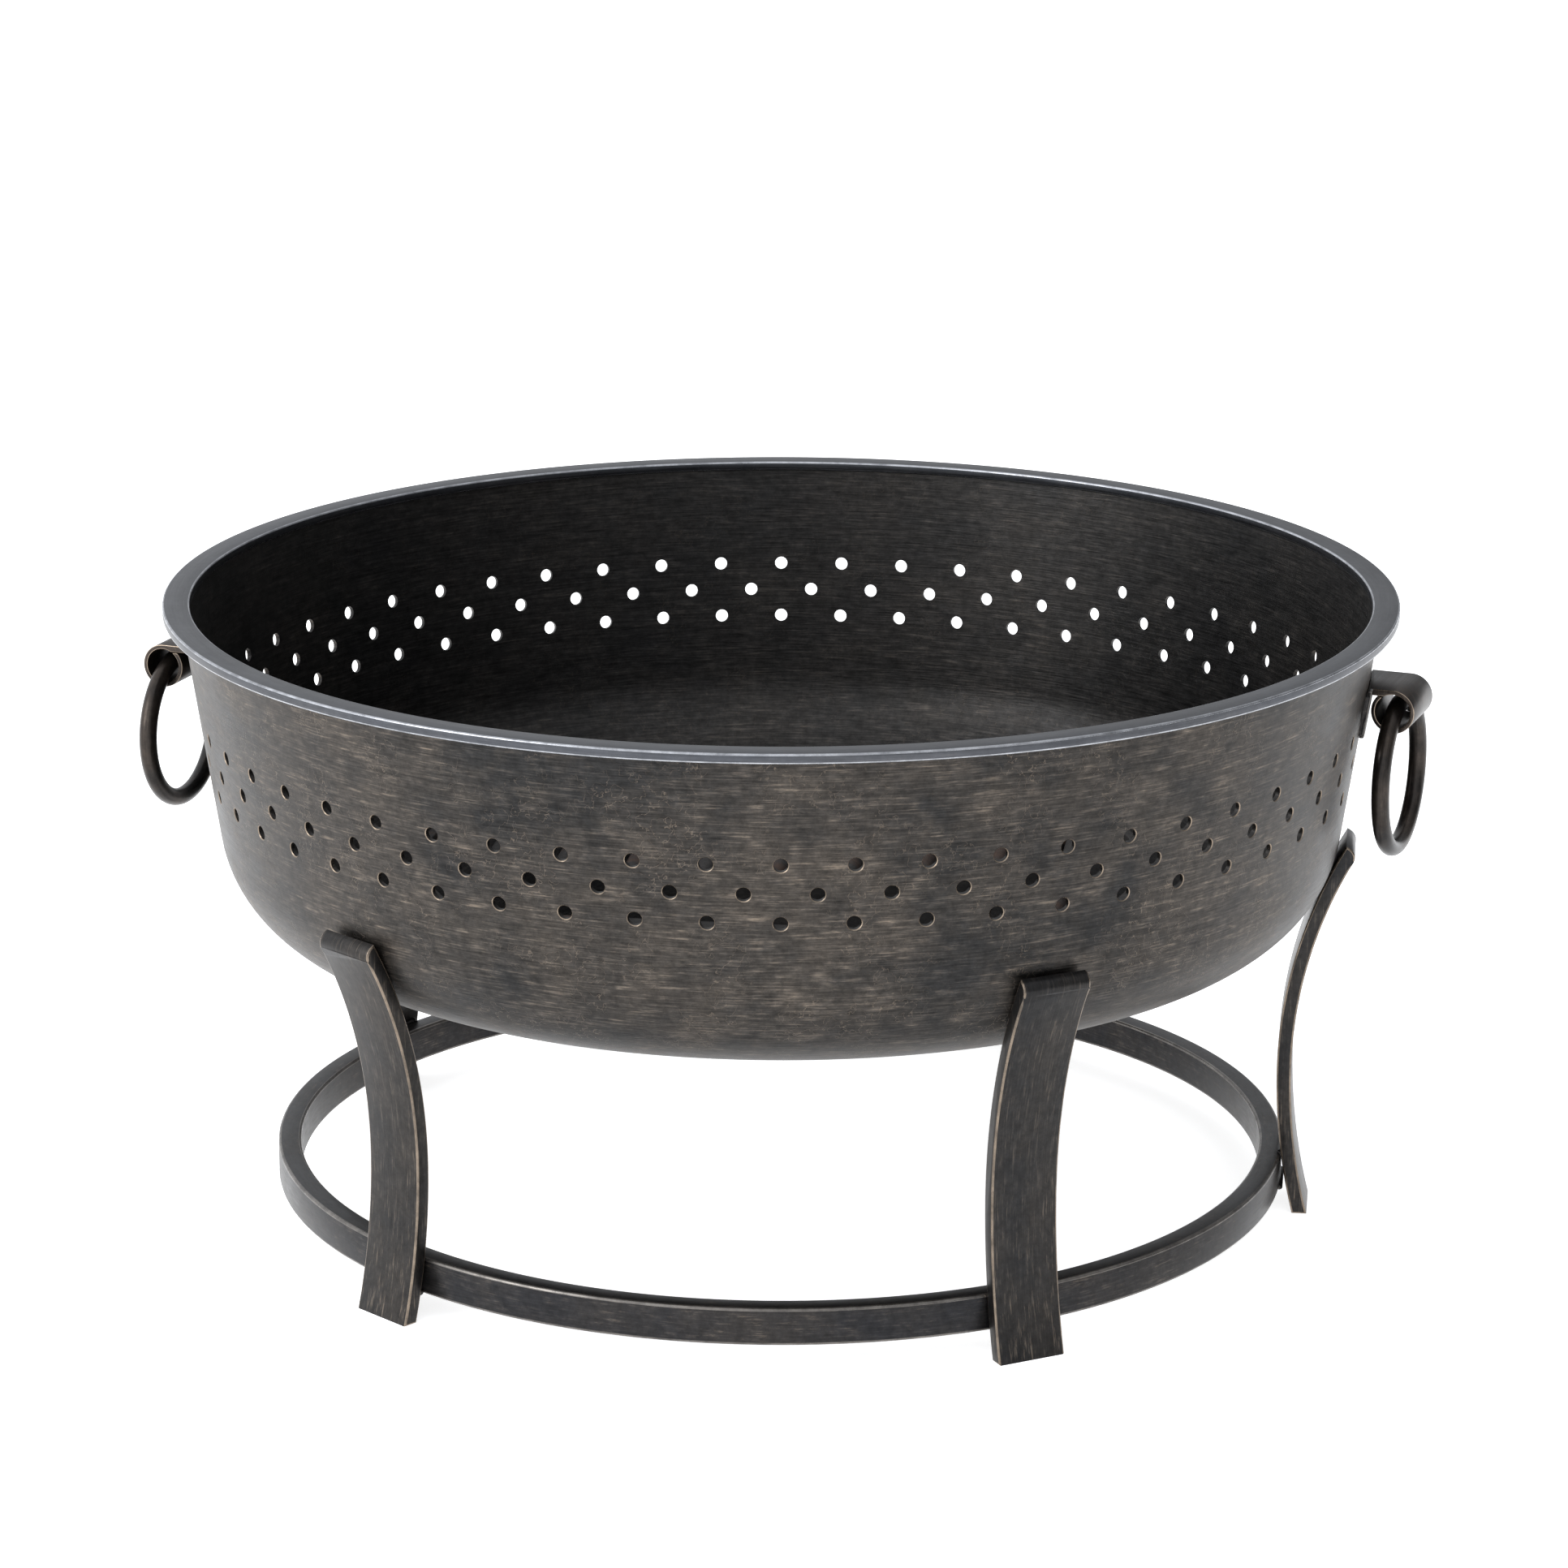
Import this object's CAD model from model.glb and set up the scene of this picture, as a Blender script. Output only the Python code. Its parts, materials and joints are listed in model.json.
# %% [markdown]
# # A steel fire pit, from its working solids to its finish
#
# The pit is a spun steel bowl that sits in a stand of five bent legs. A grate lies low inside it, and two
# ring handles hang from rolled eyes at its sides. The plain solids of all of these are already made, and
# they stay where they are. This lesson makes the fine surfaces that are seen instead of them: round air
# holes, rounded edges, weld beads, and a dark bronze patina that is brushed and worn at its edges.

# %% Load the working solids
import json
import math

import bmesh
import bpy
from mathutils import Matrix, Vector
from mathutils.kdtree import KDTree


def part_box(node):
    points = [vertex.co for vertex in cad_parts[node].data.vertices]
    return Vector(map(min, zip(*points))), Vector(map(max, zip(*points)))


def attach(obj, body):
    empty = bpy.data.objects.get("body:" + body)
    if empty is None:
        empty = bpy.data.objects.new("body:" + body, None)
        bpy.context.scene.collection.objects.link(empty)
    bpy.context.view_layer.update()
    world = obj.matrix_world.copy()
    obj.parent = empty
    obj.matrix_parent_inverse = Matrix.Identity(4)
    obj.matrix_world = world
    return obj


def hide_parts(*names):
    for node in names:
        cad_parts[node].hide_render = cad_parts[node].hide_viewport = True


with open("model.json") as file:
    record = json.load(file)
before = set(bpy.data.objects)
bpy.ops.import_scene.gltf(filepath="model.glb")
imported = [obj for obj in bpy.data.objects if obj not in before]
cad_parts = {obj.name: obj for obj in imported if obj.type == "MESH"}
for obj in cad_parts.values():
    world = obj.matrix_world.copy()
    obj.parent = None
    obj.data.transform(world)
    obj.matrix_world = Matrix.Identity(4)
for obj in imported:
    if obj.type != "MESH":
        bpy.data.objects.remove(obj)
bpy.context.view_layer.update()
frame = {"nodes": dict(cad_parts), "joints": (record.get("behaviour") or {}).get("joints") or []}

scene = bpy.context.scene
for startup in ("Cube", "Light", "Camera"):
    if startup in bpy.data.objects:
        bpy.data.objects.remove(bpy.data.objects[startup])
print("solids:", len(frame["nodes"]))

# %% [markdown]
# ## Turning a bmesh into a finished piece
#
# Every piece ends the same way. Its faces are smoothed, its real corners are kept sharp, it gets its
# finish, and it is tied to the body that it moves with. One helper does that, so the cells that follow
# hold only the shape. The shape's place is in its mesh, and the object itself stays at the origin.

# %% A helper that finishes a piece
SHARP = math.radians(35)


def add_piece(name, bm, finish, body, slot, *solids):
    """Make the bmesh a piece that moves with a body and is seen instead of the solids named."""
    mesh = bpy.data.meshes.new(name)
    bm.to_mesh(mesh)
    bm.free()
    mesh.materials.append(finish)
    mesh.shade_smooth()
    mesh.set_sharp_from_angle(angle=SHARP)
    piece = bpy.data.objects.new(name, mesh)
    scene.collection.objects.link(piece)
    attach(piece, body)
    if solids:
        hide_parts(*solids)
    low = [min(v.co[i] for v in mesh.vertices) for i in range(3)]
    high = [max(v.co[i] for v in mesh.vertices) for i in range(3)]
    size = " x ".join(f"{1000 * (b - a):.1f}" for a, b in zip(low, high))
    print(f"{name}: {len(mesh.polygons)} faces, {size} mm")
    return piece


def tidy(bm):
    """Merge doubled points and face everything outwards."""
    bmesh.ops.remove_doubles(bm, verts=bm.verts[:], dist=1e-6)
    bmesh.ops.recalc_face_normals(bm, faces=bm.faces[:])


# %% [markdown]
# ## Shader nodes by the line
#
# A finish here is a few dozen nodes. Written out in full they hide the idea, so five short helpers add a
# node with its inputs, stretch a range of values to another, do sums, blend two colours and make noise.

# %% Helpers for shader nodes
def add(tree, kind, inputs=(), **settings):
    """Add a node. An input is a number, a colour or the socket that feeds it."""
    made = tree.nodes.new("ShaderNode" + kind)
    for key, value in settings.items():
        setattr(made, key, value)
    for key, value in dict(inputs).items():
        if isinstance(value, bpy.types.NodeSocket):
            tree.links.new(value, made.inputs[key])
        else:
            made.inputs[key].default_value = value
    return made


def stretch(tree, value, low, high, to_low=0.0, to_high=1.0):
    """Take the values between low and high to another range, and clamp the rest."""
    sockets = {"Value": value, "From Min": low, "From Max": high, "To Min": to_low, "To Max": to_high}
    return add(tree, "MapRange", sockets, clamp=True).outputs["Result"]


def maths(tree, operation, a, b=0.0, clamp=False):
    return add(tree, "Math", {0: a, 1: b}, operation=operation, use_clamp=clamp).outputs[0]


def blend(tree, amount, colour, over):
    """Lay one colour over another, by this amount."""
    colours = {0: amount, 6: colour, 7: over}
    colours = {k: (*v, 1) if isinstance(v, tuple) else v for k, v in colours.items()}
    return add(tree, "Mix", colours, data_type="RGBA").outputs[2]


def cloud(tree, vector, scale, detail=4.0, roughness=0.55, **more):
    """Noise, as a value round 0.5."""
    sockets = {"Vector": vector, "Scale": scale, "Detail": detail, "Roughness": roughness}
    sockets.update({"W": more["w"]} if "w" in more else {})
    dimensions = "4D" if "w" in more else "3D"
    return add(tree, "TexNoise", sockets, noise_dimensions=dimensions).outputs["Fac"]


# %% [markdown]
# ## Which way the brushing runs
#
# Steel that was spun or rolled carries fine lines from its making, and they run along the metal: round the
# bowl and the rings, and up the legs. Noise that is squeezed one way and drawn out the other looks like
# that. Round pieces take it from their radius and height, with the bearing as a sine and a cosine, so the
# lines close on themselves and no seam shows. Bars take it from a UV map that lies along the bar.

# %% Coordinates for the brushed lines
def lines_around(tree, fine, coarse):
    """Coordinates that are fine across the height and the radius, and long round the Z axis."""
    place = add(tree, "TexCoord").outputs["Object"]
    parts = add(tree, "SeparateXYZ", {0: place})
    flat = add(tree, "CombineXYZ", {0: parts.outputs[0], 1: parts.outputs[1]}).outputs[0]
    radius = add(tree, "VectorMath", {0: flat}, operation="LENGTH").outputs["Value"]
    radius = maths(tree, "MAXIMUM", radius, 0.001)
    cosine = maths(tree, "DIVIDE", parts.outputs[0], radius)
    sine = maths(tree, "DIVIDE", parts.outputs[1], radius)
    across = add(tree, "CombineXYZ", {
        0: maths(tree, "MULTIPLY", radius, fine),
        1: maths(tree, "MULTIPLY", parts.outputs[2], fine),
        2: maths(tree, "MULTIPLY", cosine, coarse),
    }).outputs[0]
    return across, maths(tree, "MULTIPLY", sine, coarse)


def lines_along(tree, fine, coarse):
    """Coordinates that are fine across a bar's width, and long down its length."""
    place = add(tree, "UVMap", uv_map="along").outputs[0]
    scale = {"Vector": place, "Scale": (fine, coarse, 1)}
    return add(tree, "Mapping", scale).outputs[0], 0.0


# %% [markdown]
# ## One patina for all of the steel
#
# The real finish is a dark wash rubbed over bright steel. It is nearly black where the hand didn't reach,
# brown where the wash is thin, and tan along every edge that gets touched. So the colour is built in the
# same order: a dark ground, brown clouds, the brushing, small blotches, dry streaks along the brushing,
# small curled scratches, and last the worn edges. The edges aren't guessed from the shading: the faces
# that round a corner carry a value named "worn", and the finish reads it.

# %% The patina
TAN = (0.330, 0.262, 0.200)


def patina(name, lines, dark, brown, roughness, clouds=0.5, streaks=0.3, curls=0.0, wear=0.8,
           relief=0.00006, fine=900.0, coarse=7.0, contrast=0.5, foot_wear=0.0, metal=0.85, bright=TAN,
           mottle=0.0):
    material = bpy.data.materials.new(name)
    material.use_nodes = True
    tree = material.node_tree
    shader = tree.nodes["Principled BSDF"]
    place = add(tree, "TexCoord").outputs["Object"]
    inside = add(tree, "Attribute", attribute_name="inside").outputs["Fac"]
    rough_side = maths(tree, "SUBTRACT", 1.0, maths(tree, "MULTIPLY", inside, 0.75))

    # brown clouds over the dark ground, drawn out a little along the brushing
    vector, turn = lines(tree, fine / 30, coarse / 2)
    drawn = cloud(tree, vector, 1.0, 5.0, 0.62, w=turn)
    small = cloud(tree, place, 42.0, 6.0, 0.70)
    wide = cloud(tree, place, 6.0, 3.0, 0.55)
    patchy = maths(tree, "ADD", maths(tree, "MULTIPLY", drawn, 0.5), maths(tree, "MULTIPLY", small, 0.3))
    patchy = stretch(tree, maths(tree, "ADD", patchy, maths(tree, "MULTIPLY", wide, 0.4)), 0.50, 0.74)
    cover = maths(tree, "MULTIPLY", maths(tree, "MULTIPLY", patchy, clouds), rough_side)
    colour = blend(tree, cover, dark, brown)

    # the brushing itself, as light and dark lines
    vector, turn = lines(tree, fine, coarse)
    hair = cloud(tree, vector, 1.0, 3.0, 0.6, w=turn)
    vector, turn = lines(tree, fine / 3.5, coarse * 1.6)
    band = cloud(tree, vector, 1.0, 4.0, 0.65, w=turn)
    lines_shade = maths(tree, "MULTIPLY", stretch(tree, hair, 0.32, 0.68, 1 - contrast, 1 + contrast),
                        stretch(tree, band, 0.32, 0.68, 1 - 0.6 * contrast, 1 + 0.6 * contrast))
    colour = add(tree, "VectorMath", {0: colour, "Scale": lines_shade}, operation="SCALE").outputs[0]

    # small blotches, which have no direction
    grain = stretch(tree, cloud(tree, place, 190.0, 6.0, 0.72), 0.34, 0.66, 1 - mottle, 1 + mottle)
    colour = add(tree, "VectorMath", {0: colour, "Scale": grain}, operation="SCALE").outputs[0]

    # dry streaks along it, thickest where the clouds are
    dry = maths(tree, "MULTIPLY", stretch(tree, hair, 0.50, 0.70), stretch(tree, band, 0.48, 0.66))
    reach = maths(tree, "MULTIPLY", stretch(tree, patchy, 0.0, 0.8, 0.25, 1.0), rough_side)
    if foot_wear:
        height = add(tree, "SeparateXYZ", {0: place}).outputs[2]
        reach = maths(tree, "ADD", reach, stretch(tree, height, 0.0, 0.105, foot_wear, 0.0))
    dry = maths(tree, "MULTIPLY", dry, reach)
    colour = blend(tree, maths(tree, "MULTIPLY", dry, streaks, clamp=True), colour, TAN)

    # curled scratches: thin lines where a noise passes its middle value
    bump_height = maths(tree, "ADD", hair, maths(tree, "MULTIPLY", band, 0.7))
    if curls:
        middle = maths(tree, "ABSOLUTE", maths(tree, "SUBTRACT", cloud(tree, place, 150.0, 2.0, 0.5), 0.5))
        curl = maths(tree, "MULTIPLY", stretch(tree, middle, 0.0, 0.012, 1.0, 0.0),
                     stretch(tree, cloud(tree, place, 26.0, 2.0), 0.46, 0.60))
        curl = maths(tree, "MULTIPLY", curl, rough_side)
        colour = blend(tree, maths(tree, "MULTIPLY", curl, curls), colour, TAN)
        bump_height = maths(tree, "SUBTRACT", bump_height, maths(tree, "MULTIPLY", curl, 0.9))

    # edges that are worn back to bare metal
    edge = add(tree, "Attribute", attribute_name="worn").outputs["Fac"]
    chips = stretch(tree, cloud(tree, place, 70.0, 5.0, 0.7), 0.34, 0.62, 0.35, 1.0)
    bare = maths(tree, "MULTIPLY", maths(tree, "MULTIPLY", edge, chips), wear, clamp=True)
    colour = blend(tree, bare, colour, bright)
    tree.links.new(colour, shader.inputs["Base Color"])

    # thin wash is a little rougher than the rubbed metal, and the streaks catch the light
    rough = maths(tree, "ADD", stretch(tree, patchy, 0.0, 1.0, roughness, roughness + 0.08),
                  stretch(tree, hair, 0.3, 0.7, -0.05, 0.05))
    tree.links.new(maths(tree, "SUBTRACT", rough, maths(tree, "MULTIPLY", bare, 0.12)),
                   shader.inputs["Roughness"])
    shader.inputs["Metallic"].default_value = metal
    swell = maths(tree, "MULTIPLY", cloud(tree, place, 9.0, 2.0), 2.0)
    bump = add(tree, "Bump", {"Height": maths(tree, "ADD", bump_height, swell), "Distance": relief})
    tree.links.new(bump.outputs[0], shader.inputs["Normal"])
    return material


# %% [markdown]
# ## Five finishes
#
# The same recipe gives every finish. The bowl shows the most brown and the most scratches, the rim is
# cooler and cleaner, the stand is nearly black with tan edges, and the handles are rubbed by hands.

# %% Mix the finishes
bowl_finish = patina("bowl_patina", lines_around, (0.022, 0.0215, 0.0215), (0.074, 0.063, 0.053), 0.39,
                     clouds=0.80, streaks=0.60, curls=0.28, wear=0.9, relief=0.00012, fine=1000.0,
                     coarse=17.0, contrast=0.40, mottle=0.30)
rim_finish = patina("rim_satin", lines_around, (0.070, 0.074, 0.084), (0.095, 0.095, 0.097), 0.33,
                    clouds=0.4, streaks=0.12, wear=1.0, relief=0.00002, coarse=7.0, contrast=0.18,
                    metal=0.95, bright=(0.46, 0.47, 0.50), mottle=0.10)
leg_finish = patina("leg_patina", lines_along, (0.020, 0.020, 0.021), (0.050, 0.043, 0.037), 0.31,
                    clouds=0.55, streaks=0.40, wear=0.7, relief=0.00003, fine=1000.0, coarse=45.0,
                    contrast=0.18, foot_wear=0.8, mottle=0.25)
hoop_finish = patina("stand_ring_patina", lines_around, (0.021, 0.021, 0.023), (0.055, 0.048, 0.042), 0.32,
                     clouds=0.5, streaks=0.35, wear=0.65, relief=0.00003, coarse=22.0, contrast=0.2,
                     bright=(0.26, 0.24, 0.22), mottle=0.25)
handle_finish = patina("handle_patina", lines_along, (0.022, 0.021, 0.021), (0.075, 0.057, 0.045), 0.30,
                       clouds=0.75, streaks=0.25, wear=0.9, relief=0.00003, fine=700.0, coarse=50.0,
                       contrast=0.15, mottle=0.2)
print("finishes:", ", ".join(m.name for m in bpy.data.materials if "patina" in m.name or "satin" in m.name))

# %% [markdown]
# ## Fire-scaled iron for the grate
#
# The grate has been through the fire, so it isn't brushed. Its scale is matt and crusted, with rust where
# the scale has come off. Two sizes of noise make the crust, and a third lets the rust through.

# %% The grate's finish
DARK_SCALE, GREY_SCALE, RUST = (0.018, 0.017, 0.017), (0.060, 0.055, 0.052), (0.115, 0.052, 0.026)
iron = bpy.data.materials.new("scaled_iron")
iron.use_nodes = True
iron_tree = iron.node_tree
iron_shader = iron_tree.nodes["Principled BSDF"]
iron_place = add(iron_tree, "TexCoord").outputs["Object"]
crust = cloud(iron_tree, iron_place, 210.0, 6.0, 0.7)
patches = cloud(iron_tree, iron_place, 24.0, 5.0, 0.6)
iron_colour = blend(iron_tree, stretch(iron_tree, crust, 0.35, 0.75), DARK_SCALE, GREY_SCALE)
iron_colour = blend(iron_tree, stretch(iron_tree, patches, 0.52, 0.72, 0.0, 0.55), iron_colour, RUST)
iron_tree.links.new(iron_colour, iron_shader.inputs["Base Color"])
iron_tree.links.new(stretch(iron_tree, crust, 0.3, 0.8, 0.62, 0.88), iron_shader.inputs["Roughness"])
iron_shader.inputs["Metallic"].default_value = 0.55
iron_bump = add(iron_tree, "Bump", {"Height": maths(iron_tree, "ADD", crust, patches), "Distance": 0.0004})
iron_tree.links.new(iron_bump.outputs[0], iron_shader.inputs["Normal"])
print("grate finish:", iron.name)

# %% [markdown]
# ## Spinning a section
#
# A bowl, a rim and a hoop are all the same move: draw the section once, and turn it about the Z axis. The
# section is a closed loop of points, and bmesh.ops.spin with use_merge joins the last step to the first.
# A round corner in the section is an arc, so a bar with eased edges needs four short arcs.

# %% Helpers for sections
def arc(centre, radius, start, end, steps):
    """Points of an arc in the (radius, height) plane."""
    turns = [start + (end - start) * i / steps for i in range(steps + 1)]
    return [(centre[0] + radius * math.cos(t), centre[1] + radius * math.sin(t)) for t in turns]


def eased_bar(inner, outer, bottom, top, ease, steps=3):
    """The section of a rectangular bar with rounded edges."""
    quarter = math.pi / 2
    corners = ((outer - ease, bottom + ease, -quarter), (outer - ease, top - ease, 0.0),
               (inner + ease, top - ease, quarter), (inner + ease, bottom + ease, 2 * quarter))
    return [p for r, z, start in corners for p in arc((r, z), ease, start, start + quarter, steps)]


def spin_section(section, steps, closed=True):
    """Turn a section about Z, from the back of the pit and round to it again. A section that starts and
    ends on the axis stays open there, and its two ends become the poles."""
    bm = bmesh.new()
    verts = [bm.verts.new((0, r, z)) for r, z in section]
    pairs = zip(verts, verts[1:] + verts[:1]) if closed else zip(verts, verts[1:])
    edges = [bm.edges.new(pair) for pair in pairs]
    bmesh.ops.spin(bm, geom=verts + edges, cent=(0, 0, 0), axis=(0, 0, 1), angle=2 * math.pi,
                   steps=steps, use_merge=True)
    tidy(bm)
    return bm


def pull_face(bm, face, first=False):
    """Extrude one face. Only the first face of a bar stays behind, as its far end."""
    pulled = bmesh.ops.extrude_face_region(bm, geom=[face])["geom"]
    if not first and face.is_valid:
        bmesh.ops.delete(bm, geom=[face], context="FACES_ONLY")
    ring = [e for e in pulled if isinstance(e, bmesh.types.BMVert)]
    return next(e for e in pulled if isinstance(e, bmesh.types.BMFace)), ring


def wear_faces(bm, is_worn):
    """Give each face its "worn" value."""
    worn = bm.faces.layers.float.get("worn") or bm.faces.layers.float.new("worn")
    for face in bm.faces:
        face[worn] = is_worn(face)


def wear_bar_edges(inner, outer, bottom, top, ease):
    """The test for a spun bar: a face is worn where it rounds a corner of the section."""
    def is_worn(face):
        middle = face.calc_center_median()
        radius = math.hypot(middle.x, middle.y)
        beside = min(abs(radius - inner), abs(outer - radius)) < ease
        above = min(abs(middle.z - bottom), abs(top - middle.z)) < ease
        return 1.0 if beside and above else 0.0
    return is_worn


# %% [markdown]
# ## The rim
#
# A flat ring is welded on the bowl's top edge. Its four edges are eased by hand, and those eased bands
# are what flashes bright all the way round the pit, so they are real geometry and not a painted line.

# %% Make the rim
ROUND_STEPS = 288
rim_low, rim_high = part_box("rim_ring")
rim_radius, rim_top, rim_bottom = rim_high.x, rim_high.z, rim_low.z
RIM_WIDTH = 0.0167
RIM_EASE = 0.0011
rim_bar = (rim_radius - RIM_WIDTH, rim_radius, rim_bottom, rim_top, RIM_EASE)
rim = spin_section(eased_bar(*rim_bar), ROUND_STEPS)
wear_faces(rim, wear_bar_edges(*rim_bar))
add_piece("rim", rim, rim_finish, "bowl", "rim_steel", "rim_ring")

# %% [markdown]
# ## The bowl's section
#
# The bowl is spun from 3 mm sheet. Its wall leans in a little as it goes down, turns through a tight
# knuckle, and ends in a shallow dish. Every one of those joins is tangent, so the section is a straight
# line and two arcs, drawn once for the outside and once a sheet's thickness further in.

# %% The bowl's section
SHEET = 0.003
WALL_INSET = 0.0112
WALL_TAPER = 0.1478
WALL_DEPTH = 0.146
KNUCKLE = 0.0732
CROWN = 0.950
GAP = 0.0003                         # the solids stand this far apart

lean = math.atan(WALL_TAPER)
wall_top_radius = rim_radius - WALL_INSET + WALL_TAPER * (rim_top - rim_bottom)


def wall_radius(height):
    """Outside of the straight wall."""
    return wall_top_radius - WALL_TAPER * (rim_top - height)


knuckle_top = rim_top - WALL_DEPTH
knuckle_centre = (wall_radius(knuckle_top) - KNUCKLE * math.cos(lean), knuckle_top + KNUCKLE * math.sin(lean))
crown_reach = CROWN - KNUCKLE
crown_height = knuckle_centre[1] + math.sqrt(crown_reach**2 - knuckle_centre[0] ** 2)
crown_turn = math.asin(knuckle_centre[0] / crown_reach)


def bowl_side(inset):
    """Points from the top edge to the middle, on the outside (0) or a sheet's thickness inside it."""
    top = rim_bottom - GAP
    wall = [(wall_radius(z) - inset / math.cos(lean), z)
            for z in (top - (top - knuckle_top) * i / 16 for i in range(16))]
    knuckle = arc(knuckle_centre, KNUCKLE - inset, -lean, crown_turn - math.pi / 2, 20)
    crown = arc((0, crown_height), CROWN - inset, crown_turn - math.pi / 2, -math.pi / 2, 22)
    return wall + knuckle + crown[1:-1] + [(0.0, crown_height - CROWN + inset)]


print(f"wall top {2000 * wall_top_radius:.1f} mm across, bottom {1000 * (crown_height - CROWN):.1f} mm high")

# %% [markdown]
# ## The air holes
#
# Three rows of round holes let the fire draw air. They are staggered, so each hole of the middle row sits
# between two of the others. One mesh holds all of the punches, each square to the wall, and one Boolean
# makes all of the holes. Each punch flares where it leaves the sheet, and so it also cuts the small
# countersink that catches the light round a deburred hole.

# %% Punch the air holes
HOLES_PER_ROW = 54
HOLE_DIAMETER = 0.0085
HOLE_ROWS = (0.0700, 0.0878, 0.1056)
HOLE_PHASE = math.radians(8)
COUNTERSINK = 0.0005
HOLE_SIDES = 20


def hole_places():
    """The frame of each hole: its centre on the outside of the wall, with Z pointing out."""
    pitch = 2 * math.pi / HOLES_PER_ROW
    for row, depth in enumerate(HOLE_ROWS):
        height = rim_top - depth
        for i in range(HOLES_PER_ROW):
            bearing = HOLE_PHASE + (i + 0.5 * (row % 2)) * pitch
            yield (Matrix.Rotation(bearing, 4, "Z") @ Matrix.Translation((0, -wall_radius(height), height))
                   @ Matrix.Rotation(math.pi / 2 + lean, 4, "X"))


punches = bmesh.new()
for place in hole_places():
    punch = bmesh.ops.create_circle(punches, cap_ends=True, segments=HOLE_SIDES, radius=HOLE_DIAMETER / 2,
                                    matrix=place @ Matrix.Translation((0, 0, -3 * SHEET)))
    face = punch["verts"][0].link_faces[0]
    for rise, widen in ((3 * SHEET - COUNTERSINK, 0.0), (3 * COUNTERSINK, 3 * COUNTERSINK)):
        face, ring = pull_face(punches, face, first=not widen)
        grow = 1 + 2 * widen / HOLE_DIAMETER
        bmesh.ops.scale(punches, verts=ring, vec=(grow, grow, 1), space=place.inverted())
        bmesh.ops.translate(punches, verts=ring, vec=place.to_3x3() @ Vector((0, 0, rise)))
tidy(punches)
punch_mesh = bpy.data.meshes.new("air_hole_punches")
punches.to_mesh(punch_mesh)
punches.free()
punch_object = bpy.data.objects.new("air_hole_punches", punch_mesh)
scene.collection.objects.link(punch_object)

blank_mesh = bpy.data.meshes.new("bowl_blank")
blank = spin_section(bowl_side(0.0)[::-1] + bowl_side(SHEET), 4 * HOLES_PER_ROW, closed=False)
blank.to_mesh(blank_mesh)
blank.free()
blank_object = bpy.data.objects.new("bowl_blank", blank_mesh)
scene.collection.objects.link(blank_object)
punching = blank_object.modifiers.new("punching", "BOOLEAN")
punching.operation = "DIFFERENCE"
punching.solver = "EXACT"
punching.object = punch_object
bpy.context.view_layer.update()
punched = bpy.data.meshes.new_from_object(blank_object.evaluated_get(bpy.context.evaluated_depsgraph_get()))
print("punched bowl:", len(punched.polygons), "faces")

# %% [markdown]
# The punched mesh goes back into a bmesh, so that the rims of its holes can be marked as worn. A KD tree
# finds the hole that is nearest to each face, and a face belongs to a hole's rim if it lies inside it.

# %% Finish the bowl
bowl = bmesh.new()
bowl.from_mesh(punched)
hole_tree = KDTree(len(HOLE_ROWS) * HOLES_PER_ROW)
for index, place in enumerate(hole_places()):
    hole_tree.insert(place.translation, index)
hole_tree.balance()
hole_rim = HOLE_DIAMETER / 2 + 1.2 * COUNTERSINK
WORN_AREA = 4e-6


def face_out(place):
    """The direction that points out of the wall at this place."""
    flat = Vector((place.x, place.y, 0)).normalized()
    return (flat * math.cos(lean) - Vector((0, 0, math.sin(lean)))).normalized()


def near_a_hole(face):
    """A worn face is one of the countersink's, so it is small and lies just under the outer surface."""
    place, index, reach = hole_tree.find(face.calc_center_median())
    on_rim = reach < hole_rim and face.calc_area() < WORN_AREA
    return 1.0 if on_rim and face.normal.dot(face_out(place)) > 0.2 else 0.0


wear_faces(bowl, near_a_hole)
inner_side = bowl.faces.layers.float.new("inside")
for face in bowl.faces:
    middle = face.calc_center_median()
    towards_fire = Vector((0, 0, rim_top)) - middle
    face[inner_side] = 1.0 if face.normal.dot(towards_fire) > 0 and middle.z < rim_bottom - SHEET else 0.0
add_piece("bowl", bowl, bowl_finish, "bowl", "bowl_steel", "bowl_shell")
for helper in (blank_object, punch_object):
    bpy.data.objects.remove(helper)

# %% [markdown]
# ## The stand's ring
#
# A hoop of flat bar ties the legs together just above the ground. It is the rim's move again, with a
# taller section and softer edges.

# %% Make the stand's ring
hoop_low, hoop_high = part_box("stand_ring")
HOOP_WIDTH = 0.0144
HOOP_EASE = 0.0018
hoop_radius = hoop_high.x
hoop_bar = (hoop_radius - HOOP_WIDTH, hoop_radius, hoop_low.z, hoop_high.z, HOOP_EASE)
hoop = spin_section(eased_bar(*hoop_bar), ROUND_STEPS)
wear_faces(hoop, wear_bar_edges(*hoop_bar))
add_piece("hoop", hoop, hoop_finish, "stand", "stand_steel", "stand_ring")

# %% [markdown]
# ## The legs
#
# Each leg is a flat bar bent on edge: it stands on the ground outside the hoop, bows in to a waist, and
# leans out again to hold the bowl under its knuckle. Seen from the side, that is two arcs that meet at
# the waist, so the bend is smooth. The side view is extruded to the bar's width. Then the top end is
# rounded over, and both side faces have their edges eased, which are the edges that wear to tan.

# %% The side view of a leg
LEG_WIDTH = 0.043
LEG_THICKNESS = 0.009
LEG_FLARE = 0.0045
LEG_TOP_ROUND = 0.007
LEG_EASE = 0.0011
WAIST_SHARE = 0.264
leg_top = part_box("leg_1")[1].z
waist_height = hoop_high.z + WAIST_SHARE * (knuckle_centre[1] - hoop_high.z)
waist_radius = hoop_radius + GAP - LEG_FLARE


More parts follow.
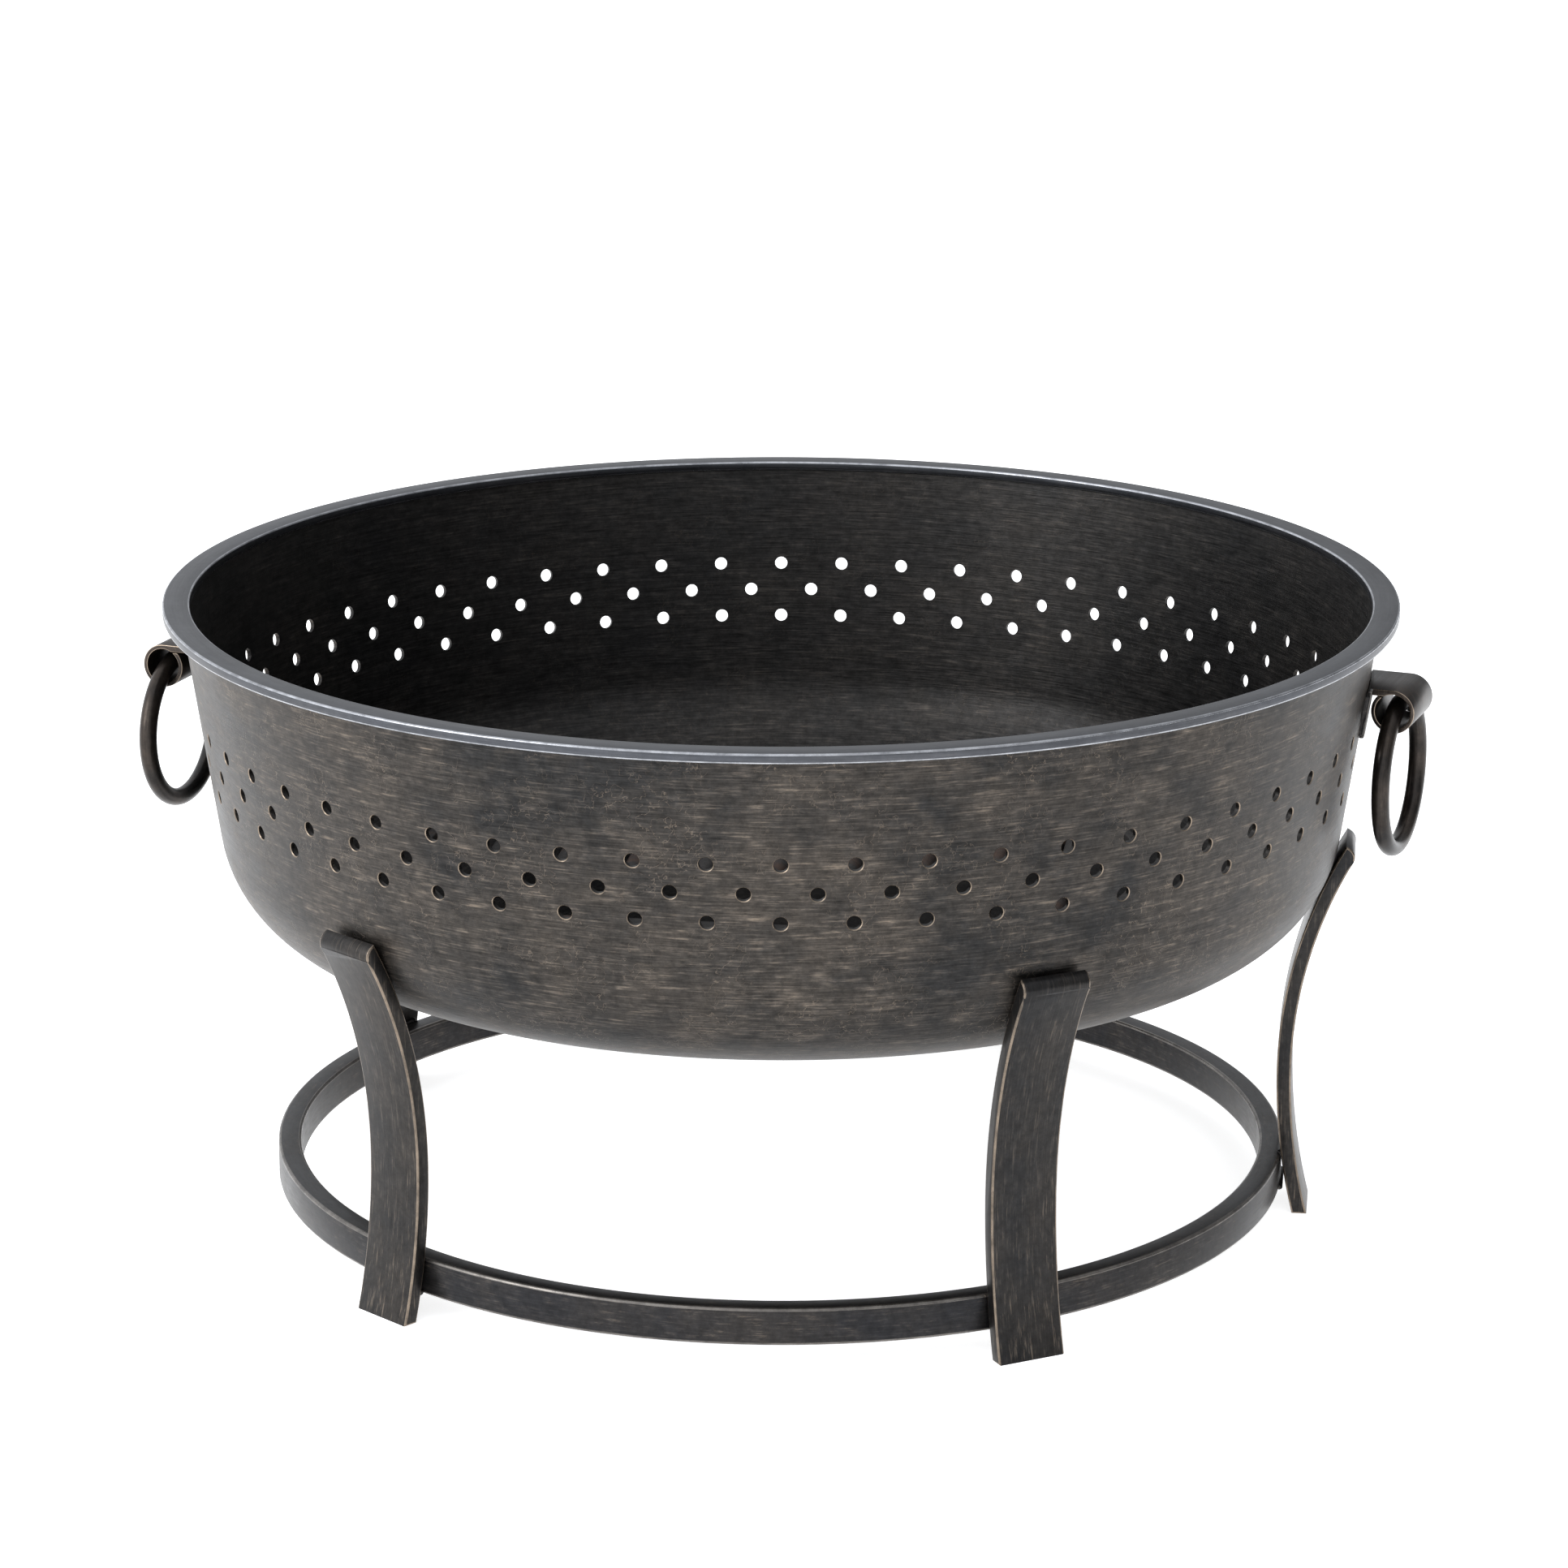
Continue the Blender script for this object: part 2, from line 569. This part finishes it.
def leg_side():
    """(radius, height) points: up the outer face from the foot, over the top, and down the inner face."""
    rise, reach = knuckle_centre[1] - waist_height, waist_radius - knuckle_centre[0]
    clear = KNUCKLE + GAP
    upper = (rise**2 + reach**2 - clear**2) / (2 * (clear - reach))
    drop = waist_height - hoop_high.z + 0.002
    lower = (drop**2 + LEG_FLARE**2) / (2 * LEG_FLARE)

    def bend(back_radius, radius, height, steps):
        """The face of this radius, from the waist to the height."""
        turn = math.asin((height - waist_height) / radius)
        return arc((waist_radius + back_radius, waist_height), radius, math.pi, math.pi - turn, steps)

    turn = math.asin((leg_top - waist_height) / upper)
    outer_end = waist_height + (upper - LEG_THICKNESS) * math.sin(turn)
    outer = (bend(lower, lower - LEG_THICKNESS, 0.0, 10)[::-1]
             + bend(upper, upper - LEG_THICKNESS, outer_end, 24)[1:])
    inner = bend(upper, upper, leg_top, 24)[::-1] + bend(lower, lower, 0.0, 10)[1:]
    return outer + inner


print("leg:", len(leg_side()), "points,", f"{1000 * leg_top:.0f} mm high")

# %% [markdown]
# A leg's bearing is read from its solid. The solid is the same on both sides of its own middle plane, so
# the sum of its corners lies in that plane, and its direction is the bearing.

# %% Bend the legs
def bearing_of(solid):
    """The angle from the front, towards +X."""
    corners = {tuple(round(c, 5) for c in v.co) for v in frame["nodes"][solid].data.vertices}
    return math.atan2(sum(c[0] for c in corners), -sum(c[1] for c in corners))


def lay_uv(bm):
    """A UV map in metres, with the width across and the length up."""
    uv = bm.loops.layers.uv.new("along")
    for face in bm.faces:
        on_side = abs(face.normal.x) > 0.7
        for loop in face.loops:
            loop[uv].uv = (loop.vert.co.y if on_side else loop.vert.co.x, loop.vert.co.z)


def make_leg(solid):
    bm = bmesh.new()
    bm.faces.layers.float.new("worn")
    side = bm.faces.new([bm.verts.new((-LEG_WIDTH / 2, -r, z)) for r, z in leg_side()])
    bmesh.ops.translate(bm, verts=pull_face(bm, side, first=True)[1], vec=(LEG_WIDTH, 0, 0))
    tip = min((e for e in bm.edges if e.calc_length() > LEG_WIDTH / 2), key=lambda e: e.verts[0].co.y)
    bmesh.ops.bevel(bm, geom=[tip], offset=LEG_TOP_ROUND, segments=8, affect="EDGES", profile=0.5,
                    material=-1)
    sides = [f for f in bm.faces if len(f.verts) > 4]
    edges = {e for f in sides for e in f.edges}
    eased = bmesh.ops.bevel(bm, geom=list(edges), offset=LEG_EASE, segments=3, affect="EDGES", profile=0.5,
                            material=-1)
    rounded = set(eased["faces"])
    wear_faces(bm, lambda face: 1.0 if face in rounded else 0.0)
    tidy(bm)
    lay_uv(bm)
    bmesh.ops.rotate(bm, verts=bm.verts[:], cent=(0, 0, 0), matrix=Matrix.Rotation(bearing_of(solid), 3, "Z"))
    return bm


leg_solids = sorted(n for n in frame["nodes"] if n.startswith("leg_"))
for solid in leg_solids:
    add_piece("bent_" + solid, make_leg(solid), leg_finish, "stand", "stand_steel", solid)
    print(f"{solid} stands at {math.degrees(bearing_of(solid)):.0f} degrees")

# %% [markdown]
# ## The handle eyes
#
# Each handle hangs in an eye: a strip rolled into a tube, with its tail brought back to the wall. Seen
# from its end that is a ring with a straight tail that leaves its top. A union of a tube and a bar would
# lose the seam where the strip closes on itself, so the end view is drawn as one outline with the seam
# left open, and then extruded along the eye. The "worn" layer is made before the bevel that it marks,
# because a new layer makes every face that was collected earlier invalid.

# %% Helpers that place things at a handle
EYE_LENGTH = 0.046
EYE_WALL = 0.0025
EYE_STRAP = 0.004
PLATE_THICKNESS = 0.003
PLATE_EASE = 0.0007
EYE_EASE = 0.0004
SEAM = 0.0006
TAIL_REACH = 0.0010                  # how far the tail stops off the wall, inside the plate

swings = {j["child"]: j for j in frame["joints"] if j["child"].startswith("ring_")}


def eye_frame(side):
    """The matrix of an eye: its middle, with local Y along its bore and local X pointing out."""
    swing = swings["ring_" + side]
    along = -Vector(swing["axis"]).normalized()
    out = along.cross(Vector((0, 0, 1))).normalized()
    turn = Matrix((out, Vector((0, 0, 1)).cross(out), Vector((0, 0, 1)))).transposed()
    return Matrix.Translation(swing["pos_m"]) @ turn.to_4x4()


for side in ("right", "left"):
    print(side, "eye points out along", [round(c, 3) for c in eye_frame(side).to_3x3() @ Vector((1, 0, 0))])

# %% Roll the eyes
eye_low, eye_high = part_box("handle_eye_right")
eye_outside = eye_high.z - eye_low.z
eye_bore = eye_outside - 2 * EYE_WALL


def eye_end_view(tail):
    """Points (out, up) of the strip's end view: over the tail's top, round the roll to where its end
    meets the tail again, back round the bore, and out along the tail's underside."""
    outer, inner = eye_outside / 2, eye_bore / 2
    top, turn = math.pi / 2, 2 * math.pi
    under = outer - EYE_STRAP
    slit = under - SEAM
    roll = arc((0, 0), outer, top, top + math.acos(slit / outer) - turn, 52)
    bore = arc((0, 0), inner, top + math.acos(slit / inner) - turn, top + math.acos(under / inner), 48)
    return [(-tail, outer)] + roll + bore + [(-tail, under)]


def make_eye(side):
    turn = eye_frame(side)
    bm = bmesh.new()
    bm.faces.layers.float.new("worn")
    start = bm.faces.new([bm.verts.new((x, -EYE_LENGTH / 2, z)) for x, z in eye_end_view(0.030)])
    bmesh.ops.translate(bm, verts=pull_face(bm, start, first=True)[1], vec=(0, EYE_LENGTH, 0))
    tidy(bm)
    ends = [f for f in bm.faces if len(f.verts) > 4]
    eased = bmesh.ops.bevel(bm, geom=list({e for f in ends for e in f.edges}), offset=EYE_EASE, segments=2,
                            affect="EDGES", profile=0.5, material=-1)
    rounded = set(eased["faces"])
    wear_faces(bm, lambda face: 1.0 if face in rounded else 0.0)
    lay_uv(bm)
    bmesh.ops.transform(bm, matrix=turn, verts=bm.verts[:])
    # the tail stops in the plate, where it is welded: what is behind is cut away and closed
    face_radius = wall_radius(turn.translation.z + eye_outside / 2) + TAIL_REACH
    out = Vector((turn.translation.x, turn.translation.y, 0)).normalized()
    cut = bmesh.ops.bisect_plane(bm, geom=bm.verts[:] + bm.edges[:] + bm.faces[:], dist=1e-6,
                                 plane_co=out * face_radius, plane_no=-out, clear_outer=True)
    rim_edges = [e for e in cut["geom_cut"] if isinstance(e, bmesh.types.BMEdge)]
    bmesh.ops.holes_fill(bm, edges=rim_edges, sides=0)
    bmesh.ops.recalc_face_normals(bm, faces=bm.faces[:])
    return bm


for side in ("right", "left"):
    add_piece("rolled_eye_" + side, make_eye(side), handle_finish, "bowl", "stand_steel",
              "handle_eye_" + side)

# %% [markdown]
# ## The ring handles
#
# A ring handle is a round bar bent to a circle. A small circle is spun about the ring's own axis. The ring
# then goes where its solid hangs: its middle is half of the solid's height below the top.

# %% Bend the ring handles
ROD = 0.011
RING_STEPS = 120
ROD_SIDES = 28


def make_ring(side):
    turn = eye_frame(side)
    low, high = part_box("ring_handle_" + side)
    radius = (high.z - low.z - ROD) / 2
    bm = bmesh.new()
    section = bmesh.ops.create_circle(bm, segments=ROD_SIDES, radius=ROD / 2,
                                      matrix=Matrix.Translation((0, radius, 0)))
    bmesh.ops.spin(bm, geom=section["verts"] + bm.edges[:], cent=(0, 0, 0), axis=(1, 0, 0),
                   angle=2 * math.pi, steps=RING_STEPS, use_merge=True)
    tidy(bm)
    uv = bm.loops.layers.uv.new("along")
    for face in bm.faces:
        for loop in face.loops:
            point = loop.vert.co
            reach = math.hypot(point.y, point.z)
            around_ring = math.atan2(point.y, -point.z)
            loop[uv].uv = (math.atan2(point.x, reach - radius) * ROD / 2, around_ring * radius)
    bmesh.ops.translate(bm, verts=bm.verts[:], vec=(0, 0, (low.z + high.z) / 2 - turn.translation.z))
    bmesh.ops.transform(bm, matrix=turn, verts=bm.verts[:])
    return bm


for side in ("right", "left"):
    add_piece("bent_ring_" + side, make_ring(side), handle_finish, "ring_" + side, "handle_steel",
              "ring_handle_" + side)

# %% [markdown]
# ## The handle plates
#
# A small plate on the wall spreads the handle's load over the thin sheet. It is rolled to the wall's
# curve: a section that leans as the wall does, spun through the plate's width and closed at both ends,
# with all of its edges eased.

# %% Make the handle plates
def make_plate(side):
    sign = 1 if side == "right" else -1
    low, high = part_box("handle_plate_" + side)
    inside = [(wall_radius(z) + GAP, z) for z in (low.z, high.z)]
    outside = [(r + PLATE_THICKNESS / math.cos(lean), z) for r, z in inside[::-1]]
    half = math.asin(high.y / (wall_radius((low.z + high.z) / 2) + PLATE_THICKNESS))
    start = Matrix.Rotation(sign * math.pi / 2 - half, 3, "Z")
    bm = bmesh.new()
    bm.faces.layers.float.new("worn")
    section = bm.faces.new([bm.verts.new(start @ Vector((0, -r, z))) for r, z in inside + outside])
    bmesh.ops.spin(bm, geom=[section], cent=(0, 0, 0), axis=(0, 0, 1), angle=2 * half, steps=24)
    bmesh.ops.holes_fill(bm, edges=[e for e in bm.edges if e.is_boundary], sides=0)
    tidy(bm)
    sharp = [e for e in bm.edges if e.calc_face_angle(0) > SHARP]
    eased = bmesh.ops.bevel(bm, geom=sharp, offset=PLATE_EASE, segments=2, affect="EDGES", profile=0.5,
                            material=-1)
    rounded = set(eased["faces"])
    wear_faces(bm, lambda face: 1.0 if face in rounded else 0.0)
    return bm


for side in ("right", "left"):
    add_piece("curved_plate_" + side, make_plate(side), hoop_finish, "bowl", "stand_steel",
              "handle_plate_" + side)

# %% [markdown]
# ## The grate
#
# The grate is nine round bars in a hoop, with two flat bars under them and four short feet. Each is made
# at the size of its own solid, so nothing has to be typed twice. A sawn bar's ends are slightly eased,
# which is a small bevel on the end loops of a cylinder.

# %% Make the grate's hoop
grate_low, grate_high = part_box("grate_ring")
GRATE_STRIP = 0.006
GRATE_EASE = 0.0010
grate_bar = (grate_high.x - GRATE_STRIP, grate_high.x, grate_low.z, grate_high.z, GRATE_EASE)
add_piece("grate_hoop", spin_section(eased_bar(*grate_bar), 192), iron, "grate", "grate_iron", "grate_ring")


# %% Make the grate's bars and feet
def eased_rod(low, high, ease=GRATE_EASE):
    """A round bar along the longest side of the box, with its ends eased."""
    size = high - low
    axis = max(range(3), key=lambda i: size[i])
    turn = {0: Matrix.Rotation(math.pi / 2, 4, "Y"), 1: Matrix.Rotation(math.pi / 2, 4, "X"),
            2: Matrix.Identity(4)}[axis]
    radius = max(size[i] for i in range(3) if i != axis) / 2
    bm = bmesh.new()
    bmesh.ops.create_cone(bm, cap_ends=True, segments=28, radius1=radius, radius2=radius, depth=size[axis],
                          matrix=Matrix.Translation((low + high) / 2) @ turn)
    ends = {e for f in bm.faces if len(f.verts) > 4 for e in f.edges}
    bmesh.ops.bevel(bm, geom=list(ends), offset=ease, segments=2, affect="EDGES", profile=0.5, material=-1)
    tidy(bm)
    return bm


def eased_strip(low, high, ease=0.8 * GRATE_EASE):
    """A flat bar that fills the box, with its edges eased."""
    size = Matrix.Diagonal((*(high - low), 1))
    bm = bmesh.new()
    bmesh.ops.create_cube(bm, size=1, matrix=Matrix.Translation((low + high) / 2) @ size)
    bmesh.ops.bevel(bm, geom=bm.edges[:], offset=ease, segments=2, affect="EDGES", profile=0.5, material=-1)
    tidy(bm)
    return bm


for solid in sorted(n for n in frame["nodes"] if n.startswith("grate_") and n != "grate_ring"):
    shape = eased_strip if "cross" in solid else eased_rod
    add_piece("eased_" + solid, shape(*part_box(solid)), iron, "grate", "grate_iron", solid)

# %% [markdown]
# ## Weld beads
#
# Nothing here is bolted, so every join is a weld. A bead isn't a smooth tube: the torch stops and starts,
# and leaves a row of overlapping ripples. A small circle is extruded step by step, and every second step
# is a little fatter, which gives those ripples with few faces.

# %% A helper for weld beads
def weld_bead(bm, start, end, radius):
    """Weld metal from start to end, as a rippled bar with drawn-in ends."""
    start, end = Vector(start), Vector(end)
    run = end - start
    steps = max(4, round(run.length / (0.6 * radius)))
    turn = run.to_track_quat("Z", "Y").to_matrix().to_4x4()
    made = bmesh.ops.create_circle(bm, cap_ends=True, segments=10, radius=0.5 * radius,
                                   matrix=Matrix.Translation(start) @ turn)
    face = made["verts"][0].link_faces[0]
    width = 0.5 * radius
    for i in range(1, steps + 1):
        face, ring = pull_face(bm, face, first=i == 1)
        bmesh.ops.translate(bm, verts=ring, vec=run / steps)
        wanted = 0.5 * radius if i == steps else radius * (1.0 if i % 2 else 0.86)
        middle = Matrix.Translation(start + run * i / steps) @ turn
        bmesh.ops.scale(bm, verts=ring, vec=(wanted / width,) * 2 + (1,), space=middle.inverted())
        width = wanted


STAND_BEAD, PLATE_BEAD, GRATE_BEAD = 0.0022, 0.0020, 0.0018


# %% Weld the stand
stand_welds = bmesh.new()
for solid in leg_solids:
    turn = Matrix.Rotation(bearing_of(solid), 3, "Z")
    half = 0.4 * LEG_WIDTH
    for height in (hoop_high.z - 0.0002, hoop_low.z + 0.0002):
        ends = [turn @ Vector((x, -hoop_radius + 0.0005, height)) for x in (-half, half)]
        weld_bead(stand_welds, *ends, STAND_BEAD)
bmesh.ops.recalc_face_normals(stand_welds, faces=stand_welds.faces[:])
add_piece("stand_welds", stand_welds, hoop_finish, "stand", "stand_steel")

# %% Weld the handles
handle_welds = bmesh.new()
for side in ("right", "left"):
    sign = 1 if side == "right" else -1
    low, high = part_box("handle_plate_" + side)
    half = math.asin(high.y / wall_radius((low.z + high.z) / 2))
    for edge in (-half, half):
        turn = Matrix.Rotation(sign * math.pi / 2 + edge, 3, "Z")
        ends = [turn @ Vector((0, -wall_radius(z) - 0.0006, z)) for z in (low.z + 0.002, high.z - 0.002)]
        weld_bead(handle_welds, *ends, PLATE_BEAD)
bmesh.ops.recalc_face_normals(handle_welds, faces=handle_welds.faces[:])
add_piece("handle_welds", handle_welds, hoop_finish, "bowl", "stand_steel")

# %% Weld the grate
grate_welds = bmesh.new()
for solid in sorted(n for n in frame["nodes"] if n.startswith("grate_bar_")):
    low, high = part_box(solid)
    middle, radius = (low + high) / 2, (high.x - low.x) / 2
    for y in (low.y, high.y):
        for x in (low.x + 0.0005, high.x - 0.0005):
            ends = [(x, y, middle.z + share * radius) for share in (-0.6, 0.6)]
            weld_bead(grate_welds, *ends, GRATE_BEAD)
for name in ("front", "back"):
    low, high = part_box("grate_cross_bar_" + name)
    for x in (low.x, high.x):
        weld_bead(grate_welds, (x, low.y + 0.003, low.z), (x, high.y - 0.003, low.z), GRATE_BEAD)
bmesh.ops.recalc_face_normals(grate_welds, faces=grate_welds.faces[:])
add_piece("grate_welds", grate_welds, iron, "grate", "grate_iron")

# %% [markdown]
# ## Floor, light and camera
#
# Dark satin steel shows what is round it more than it shows its own colour. So it stands on a pale floor
# that glows a little, under a pale sky that is brightest at the left, with one large soft light high at
# the left and in front. These give the bright side, and leave the inside of the left wall dark. The
# camera has a long lens, as a catalogue photographer would choose, so that the round rim isn't stretched.

# %% Lay the floor
floor_bm = bmesh.new()
bmesh.ops.create_grid(floor_bm, x_segments=1, y_segments=1, size=30)
floor_mesh = bpy.data.meshes.new("floor")
floor_bm.to_mesh(floor_mesh)
floor_bm.free()
floor = bpy.data.objects.new("floor", floor_mesh)
scene.collection.objects.link(floor)
FLOOR_GLOW = 0.75                    # a little light of its own, so that almost no shadow is left
floor_finish = bpy.data.materials.new("pale_floor")
floor_finish.use_nodes = True
for socket, value in (("Base Color", (0.92, 0.92, 0.92, 1)), ("Roughness", 0.9),
                      ("Emission Strength", FLOOR_GLOW), ("Emission Color", (1, 1, 1, 1))):
    floor_finish.node_tree.nodes["Principled BSDF"].inputs[socket].default_value = value
floor_mesh.materials.append(floor_finish)

# %% Set the lights
LIGHT_SIDE = Vector((-0.80, -0.42, 0.42)).normalized()
DIM_SKY, BRIGHT_SKY = 0.30, 1.75

world = bpy.data.worlds.new("pale_sky")
scene.world = world
world.use_nodes = True
sky_tree = world.node_tree
sky = sky_tree.nodes["Background"]
sky.inputs["Color"].default_value = (0.95, 0.97, 1.0, 1)
direction = add(sky_tree, "TexCoord").outputs["Generated"]
facing = add(sky_tree, "VectorMath", {0: direction, 1: LIGHT_SIDE}, operation="DOT_PRODUCT").outputs["Value"]
sky_tree.links.new(stretch(sky_tree, facing, -0.6, 1.0, DIM_SKY, BRIGHT_SKY), sky.inputs["Strength"])


def soft_light(name, place, size, power):
    """A square soft light that faces the bowl."""
    light = bpy.data.lights.new(name, "AREA")
    light.shape = "SQUARE"
    light.size = size
    light.energy = power
    lamp = bpy.data.objects.new(name, light)
    scene.collection.objects.link(lamp)
    lamp.location = place
    lamp.rotation_euler = (Vector((0, 0, 0.2)) - Vector(place)).to_track_quat("-Z", "Y").to_euler()


soft_light("key", (-3.2, -2.6, 2.0), 2.2, 70)
scene.view_settings.view_transform = "Standard"

# %% Place the camera
camera_data = bpy.data.cameras.new("camera")
camera_data.sensor_width = 36
camera_data.lens = 117.02
camera_data.shift_x = 0.0020
camera = bpy.data.objects.new("camera", camera_data)
scene.collection.objects.link(camera)
camera.location = (0.4259, -3.0304, 1.1400)
HEADING, TILT, ROLL = math.radians(8), math.radians(73.994), math.radians(0.10)
aim = Matrix.Rotation(HEADING, 3, "Z") @ Matrix.Rotation(TILT, 3, "X") @ Matrix.Rotation(ROLL, 3, "Z")
camera.rotation_euler = aim.to_euler()
scene.camera = camera
